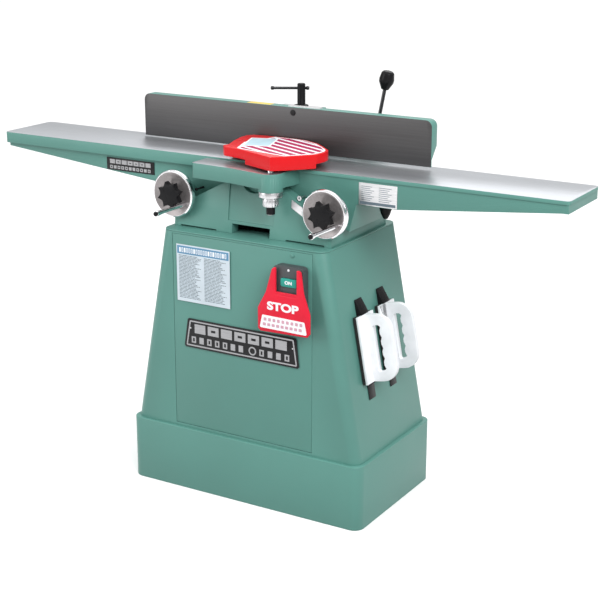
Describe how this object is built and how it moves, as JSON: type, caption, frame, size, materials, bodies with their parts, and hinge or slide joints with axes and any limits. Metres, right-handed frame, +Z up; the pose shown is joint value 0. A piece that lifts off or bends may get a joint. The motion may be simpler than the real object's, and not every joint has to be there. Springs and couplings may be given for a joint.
{
  "type": "jointer",
  "caption": "Closed-stand woodworking jointer with long tables, tilting fence, swinging cutter guard, handwheels and push blocks.",
  "frame": {"origin": "centre of the plinth's underside, on the floor", "axes": "+Z up, +X along the tables to the infeed end, -Y towards the operator"},
  "size_m": [1.829, 0.609, 1.21],
  "materials": {
    "machine_green": "satin sea-green machine enamel",
    "green_casting": "sea-green painted cast iron",
    "table_iron": "painted cast iron with ground top",
    "fence_iron": "ground cast iron",
    "steel": "turned or ground steel",
    "chrome": "bright chrome",
    "black_plastic": "black moulded plastic",
    "motor_black": "black enamel",
    "rubber": "black rubber",
    "guard_red": "glossy red enamel",
    "stop_red": "glossy red plastic",
    "white_plastic": "white moulded plastic",
    "switch_grey": "dark grey plastic",
    "on_green": "green push button",
    "label_white": "printed plate",
    "plate_black": "black plate",
    "aluminium": "bare aluminium plate"
  },
  "bodies": {
    "frame": {"plinth": "machine_green", "stand_body": "machine_green", "stand_top": "machine_green", "front_panel": "machine_green", "instruction_plate": "label_white", "name_plate": "plate_black", "dust_port": "black_plastic", "chip_chute": "steel", "base_casting": "green_casting", "front_bearing": "machine_green", "rear_bearing": "machine_green", "motor": "motor_black", "motor_shelf": "machine_green", "v_belt": "rubber", "belt_guard": "machine_green", "fence_support": "green_casting", "depth_scale": "aluminium", "infeed_nut": "steel", "outfeed_nut": "steel", "switch_box": "switch_grey", "front_push_hanger": "black_plastic", "rear_push_hanger": "black_plastic"},
    "infeed_table": {"infeed_table": "table_iron", "info_plate": "aluminium", "post_flange": "steel"},
    "outfeed_table": {"outfeed_table": "table_iron", "outfeed_plate": "plate_black"},
    "infeed_wheel": {"infeed_wheel": "chrome"},
    "outfeed_wheel": {"outfeed_wheel": "chrome"},
    "infeed_screw": {"infeed_lead_screw": "steel"},
    "outfeed_screw": {"outfeed_lead_screw": "steel"},
    "infeed_crank": {"infeed_crank_handle": "chrome"},
    "outfeed_crank": {"outfeed_crank_handle": "chrome"},
    "infeed_lock_knob": {"infeed_lock_knob": "black_plastic"},
    "outfeed_lock_knob": {"outfeed_lock_knob": "black_plastic"},
    "cutterhead": {"cutterhead": "steel", "knife_1": "steel", "knife_2": "steel", "knife_3": "steel", "cutter_pulley": "steel"},
    "motor_pulley": {"motor_pulley": "steel"},
    "guard": {"guard": "guard_red", "guard_post": "steel"},
    "spring_knob": {"spring_knob": "steel"},
    "fence_carriage": {"fence_carriage": "green_casting"},
    "fence": {"fence": "fence_iron", "fence_quadrant_l": "steel", "fence_quadrant_r": "steel"},
    "slide_lock": {"slide_lock_post": "black_plastic"},
    "slide_lock_bar": {"slide_lock_bar": "steel"},
    "tilt_lever": {"tilt_lever": "chrome", "tilt_lever_knob": "black_plastic"},
    "stop_paddle": {"stop_paddle": "stop_red"},
    "stop_button": {"stop_button": "stop_red"},
    "on_button": {"on_button": "on_green"},
    "infeed_lock": {"infeed_lock": "black_plastic"},
    "front_push": {"front_push_block": "white_plastic", "front_push_foam": "rubber"},
    "rear_push": {"rear_push_block": "white_plastic", "rear_push_foam": "rubber"}
  },
  "joints": [
    {"name": "infeed_wheel_spin", "type": "hinge", "parent": "infeed_table", "child": "infeed_wheel", "pos_m": [0.246, -0.17, 0.874], "axis": [0, -1, 0], "range_deg": [-390, 845]},
    {"name": "infeed_slide", "type": "slide", "parent": "frame", "child": "infeed_table", "axis": [0.8854, 0, -0.4648], "range_m": [-0.0086, 0.0187]},
    {"name": "infeed_screw_spin", "type": "hinge", "parent": "infeed_table", "child": "infeed_screw", "pos_m": [0.246, -0.05, 0.874], "axis": [-0.8854, 0, 0.4648], "range_deg": [-390, 845]},
    {"name": "outfeed_wheel_spin", "type": "hinge", "parent": "outfeed_table", "child": "outfeed_wheel", "pos_m": [-0.246, -0.17, 0.874], "axis": [0, 1, 0], "range_deg": [0, 590]},
    {"name": "outfeed_slide", "type": "slide", "parent": "frame", "child": "outfeed_table", "axis": [-0.8854, 0, -0.4648], "range_m": [0, 0.013]},
    {"name": "outfeed_screw_spin", "type": "hinge", "parent": "outfeed_table", "child": "outfeed_screw", "pos_m": [-0.246, -0.05, 0.874], "axis": [0.8854, 0, 0.4648], "range_deg": [0, 590]},
    {"name": "infeed_crank_spin", "type": "hinge", "parent": "infeed_wheel", "child": "infeed_crank", "pos_m": [0.28542, -0.24, 0.8484], "axis": [0, -1, 0], "continuous": true},
    {"name": "outfeed_crank_spin", "type": "hinge", "parent": "outfeed_wheel", "child": "outfeed_crank", "pos_m": [-0.20658, -0.24, 0.8484], "axis": [0, -1, 0], "continuous": true},
    {"name": "infeed_lock_turn", "type": "hinge", "parent": "infeed_wheel", "child": "infeed_lock_knob", "pos_m": [0.246, -0.19, 0.874], "axis": [0, -1, 0], "range_deg": [0, 180]},
    {"name": "outfeed_lock_turn", "type": "hinge", "parent": "outfeed_wheel", "child": "outfeed_lock_knob", "pos_m": [-0.246, -0.19, 0.874], "axis": [0, -1, 0], "range_deg": [0, 180]},
    {"name": "cutterhead_spin", "type": "hinge", "parent": "frame", "child": "cutterhead", "pos_m": [0, 0, 0.94], "axis": [0, 1, 0], "continuous": true},
    {"name": "motor_spin", "type": "hinge", "parent": "frame", "child": "motor_pulley", "pos_m": [0, 0.18, 0.36], "axis": [0, 1, 0], "continuous": true},
    {"name": "guard_swing", "type": "hinge", "parent": "infeed_table", "child": "guard", "pos_m": [0.087, -0.19, 0.985], "axis": [0, 0, 1], "range_deg": [0, 60], "stiffness_Nm_per_rad": 0.6, "springref_deg": -28.65},
    {"name": "guard_spring_turn", "type": "hinge", "parent": "infeed_table", "child": "spring_knob", "pos_m": [0.087, -0.19, 0.89], "axis": [0, 0, 1], "range_deg": [-180, 180]},
    {"name": "fence_slide", "type": "slide", "parent": "frame", "child": "fence_carriage", "axis": [0, 1, 0], "range_m": [0, 0.04]},
    {"name": "fence_tilt", "type": "hinge", "parent": "fence_carriage", "child": "fence", "pos_m": [0, 0.0565, 0.981], "axis": [-1, 0, 0], "range_deg": [0, 45]},
    {"name": "slide_lock_turn", "type": "hinge", "parent": "fence_carriage", "child": "slide_lock", "pos_m": [-0.0533, 0.205, 1.11], "axis": [0, 0, 1], "range_deg": [0, 120]},
    {"name": "slide_lock_bar_slide", "type": "slide", "parent": "slide_lock", "child": "slide_lock_bar", "axis": [0.866, 0.5, 0], "range_m": [0, 0.062]},
    {"name": "tilt_lever_turn", "type": "hinge", "parent": "fence_carriage", "child": "tilt_lever", "pos_m": [0.1975, 0.205, 1.0385], "axis": [0, 1, 0], "range_deg": [-30, 15]},
    {"name": "stop_paddle_press", "type": "hinge", "parent": "frame", "child": "stop_paddle", "pos_m": [0.173, -0.25, 0.727], "axis": [1, 0, 0], "range_deg": [0, 1.9], "stiffness_Nm_per_rad": 1.5},
    {"name": "stop_button_press", "type": "slide", "parent": "frame", "child": "stop_button", "axis": [0, 1, 0], "range_m": [0, 0.0038]},
    {"name": "on_button_press", "type": "slide", "parent": "frame", "child": "on_button", "axis": [0, 1, 0], "range_m": [0, 0.003], "stiffness_N_per_m": 300},
    {"name": "infeed_lock_grip", "type": "hinge", "parent": "infeed_table", "child": "infeed_lock", "pos_m": [0.3375, 0, 0.87], "axis": [0, 0, 1], "range_deg": [-120, 120]},
    {"name": "front_push_lift", "type": "slide", "parent": "frame", "child": "front_push", "axis": [0.9834, 0, 0.1816], "range_m": [0, 0.2]},
    {"name": "rear_push_lift", "type": "slide", "parent": "frame", "child": "rear_push", "axis": [0.9834, 0, 0.1816], "range_m": [0, 0.2]}
  ],
  "couplings": [
    {"joint": "infeed_wheel_spin", "follows": "infeed_slide", "rad_per_m": 785.4},
    {"joint": "infeed_screw_spin", "follows": "infeed_slide", "rad_per_m": 785.4},
    {"joint": "outfeed_wheel_spin", "follows": "outfeed_slide", "rad_per_m": 785.4},
    {"joint": "outfeed_screw_spin", "follows": "outfeed_slide", "rad_per_m": 785.4},
    {"joint": "motor_spin", "follows": "cutterhead_spin", "ratio": 0.67366},
    {"joint": "stop_button_press", "follows": "stop_paddle_press", "m_per_rad": 0.112}
  ]
}
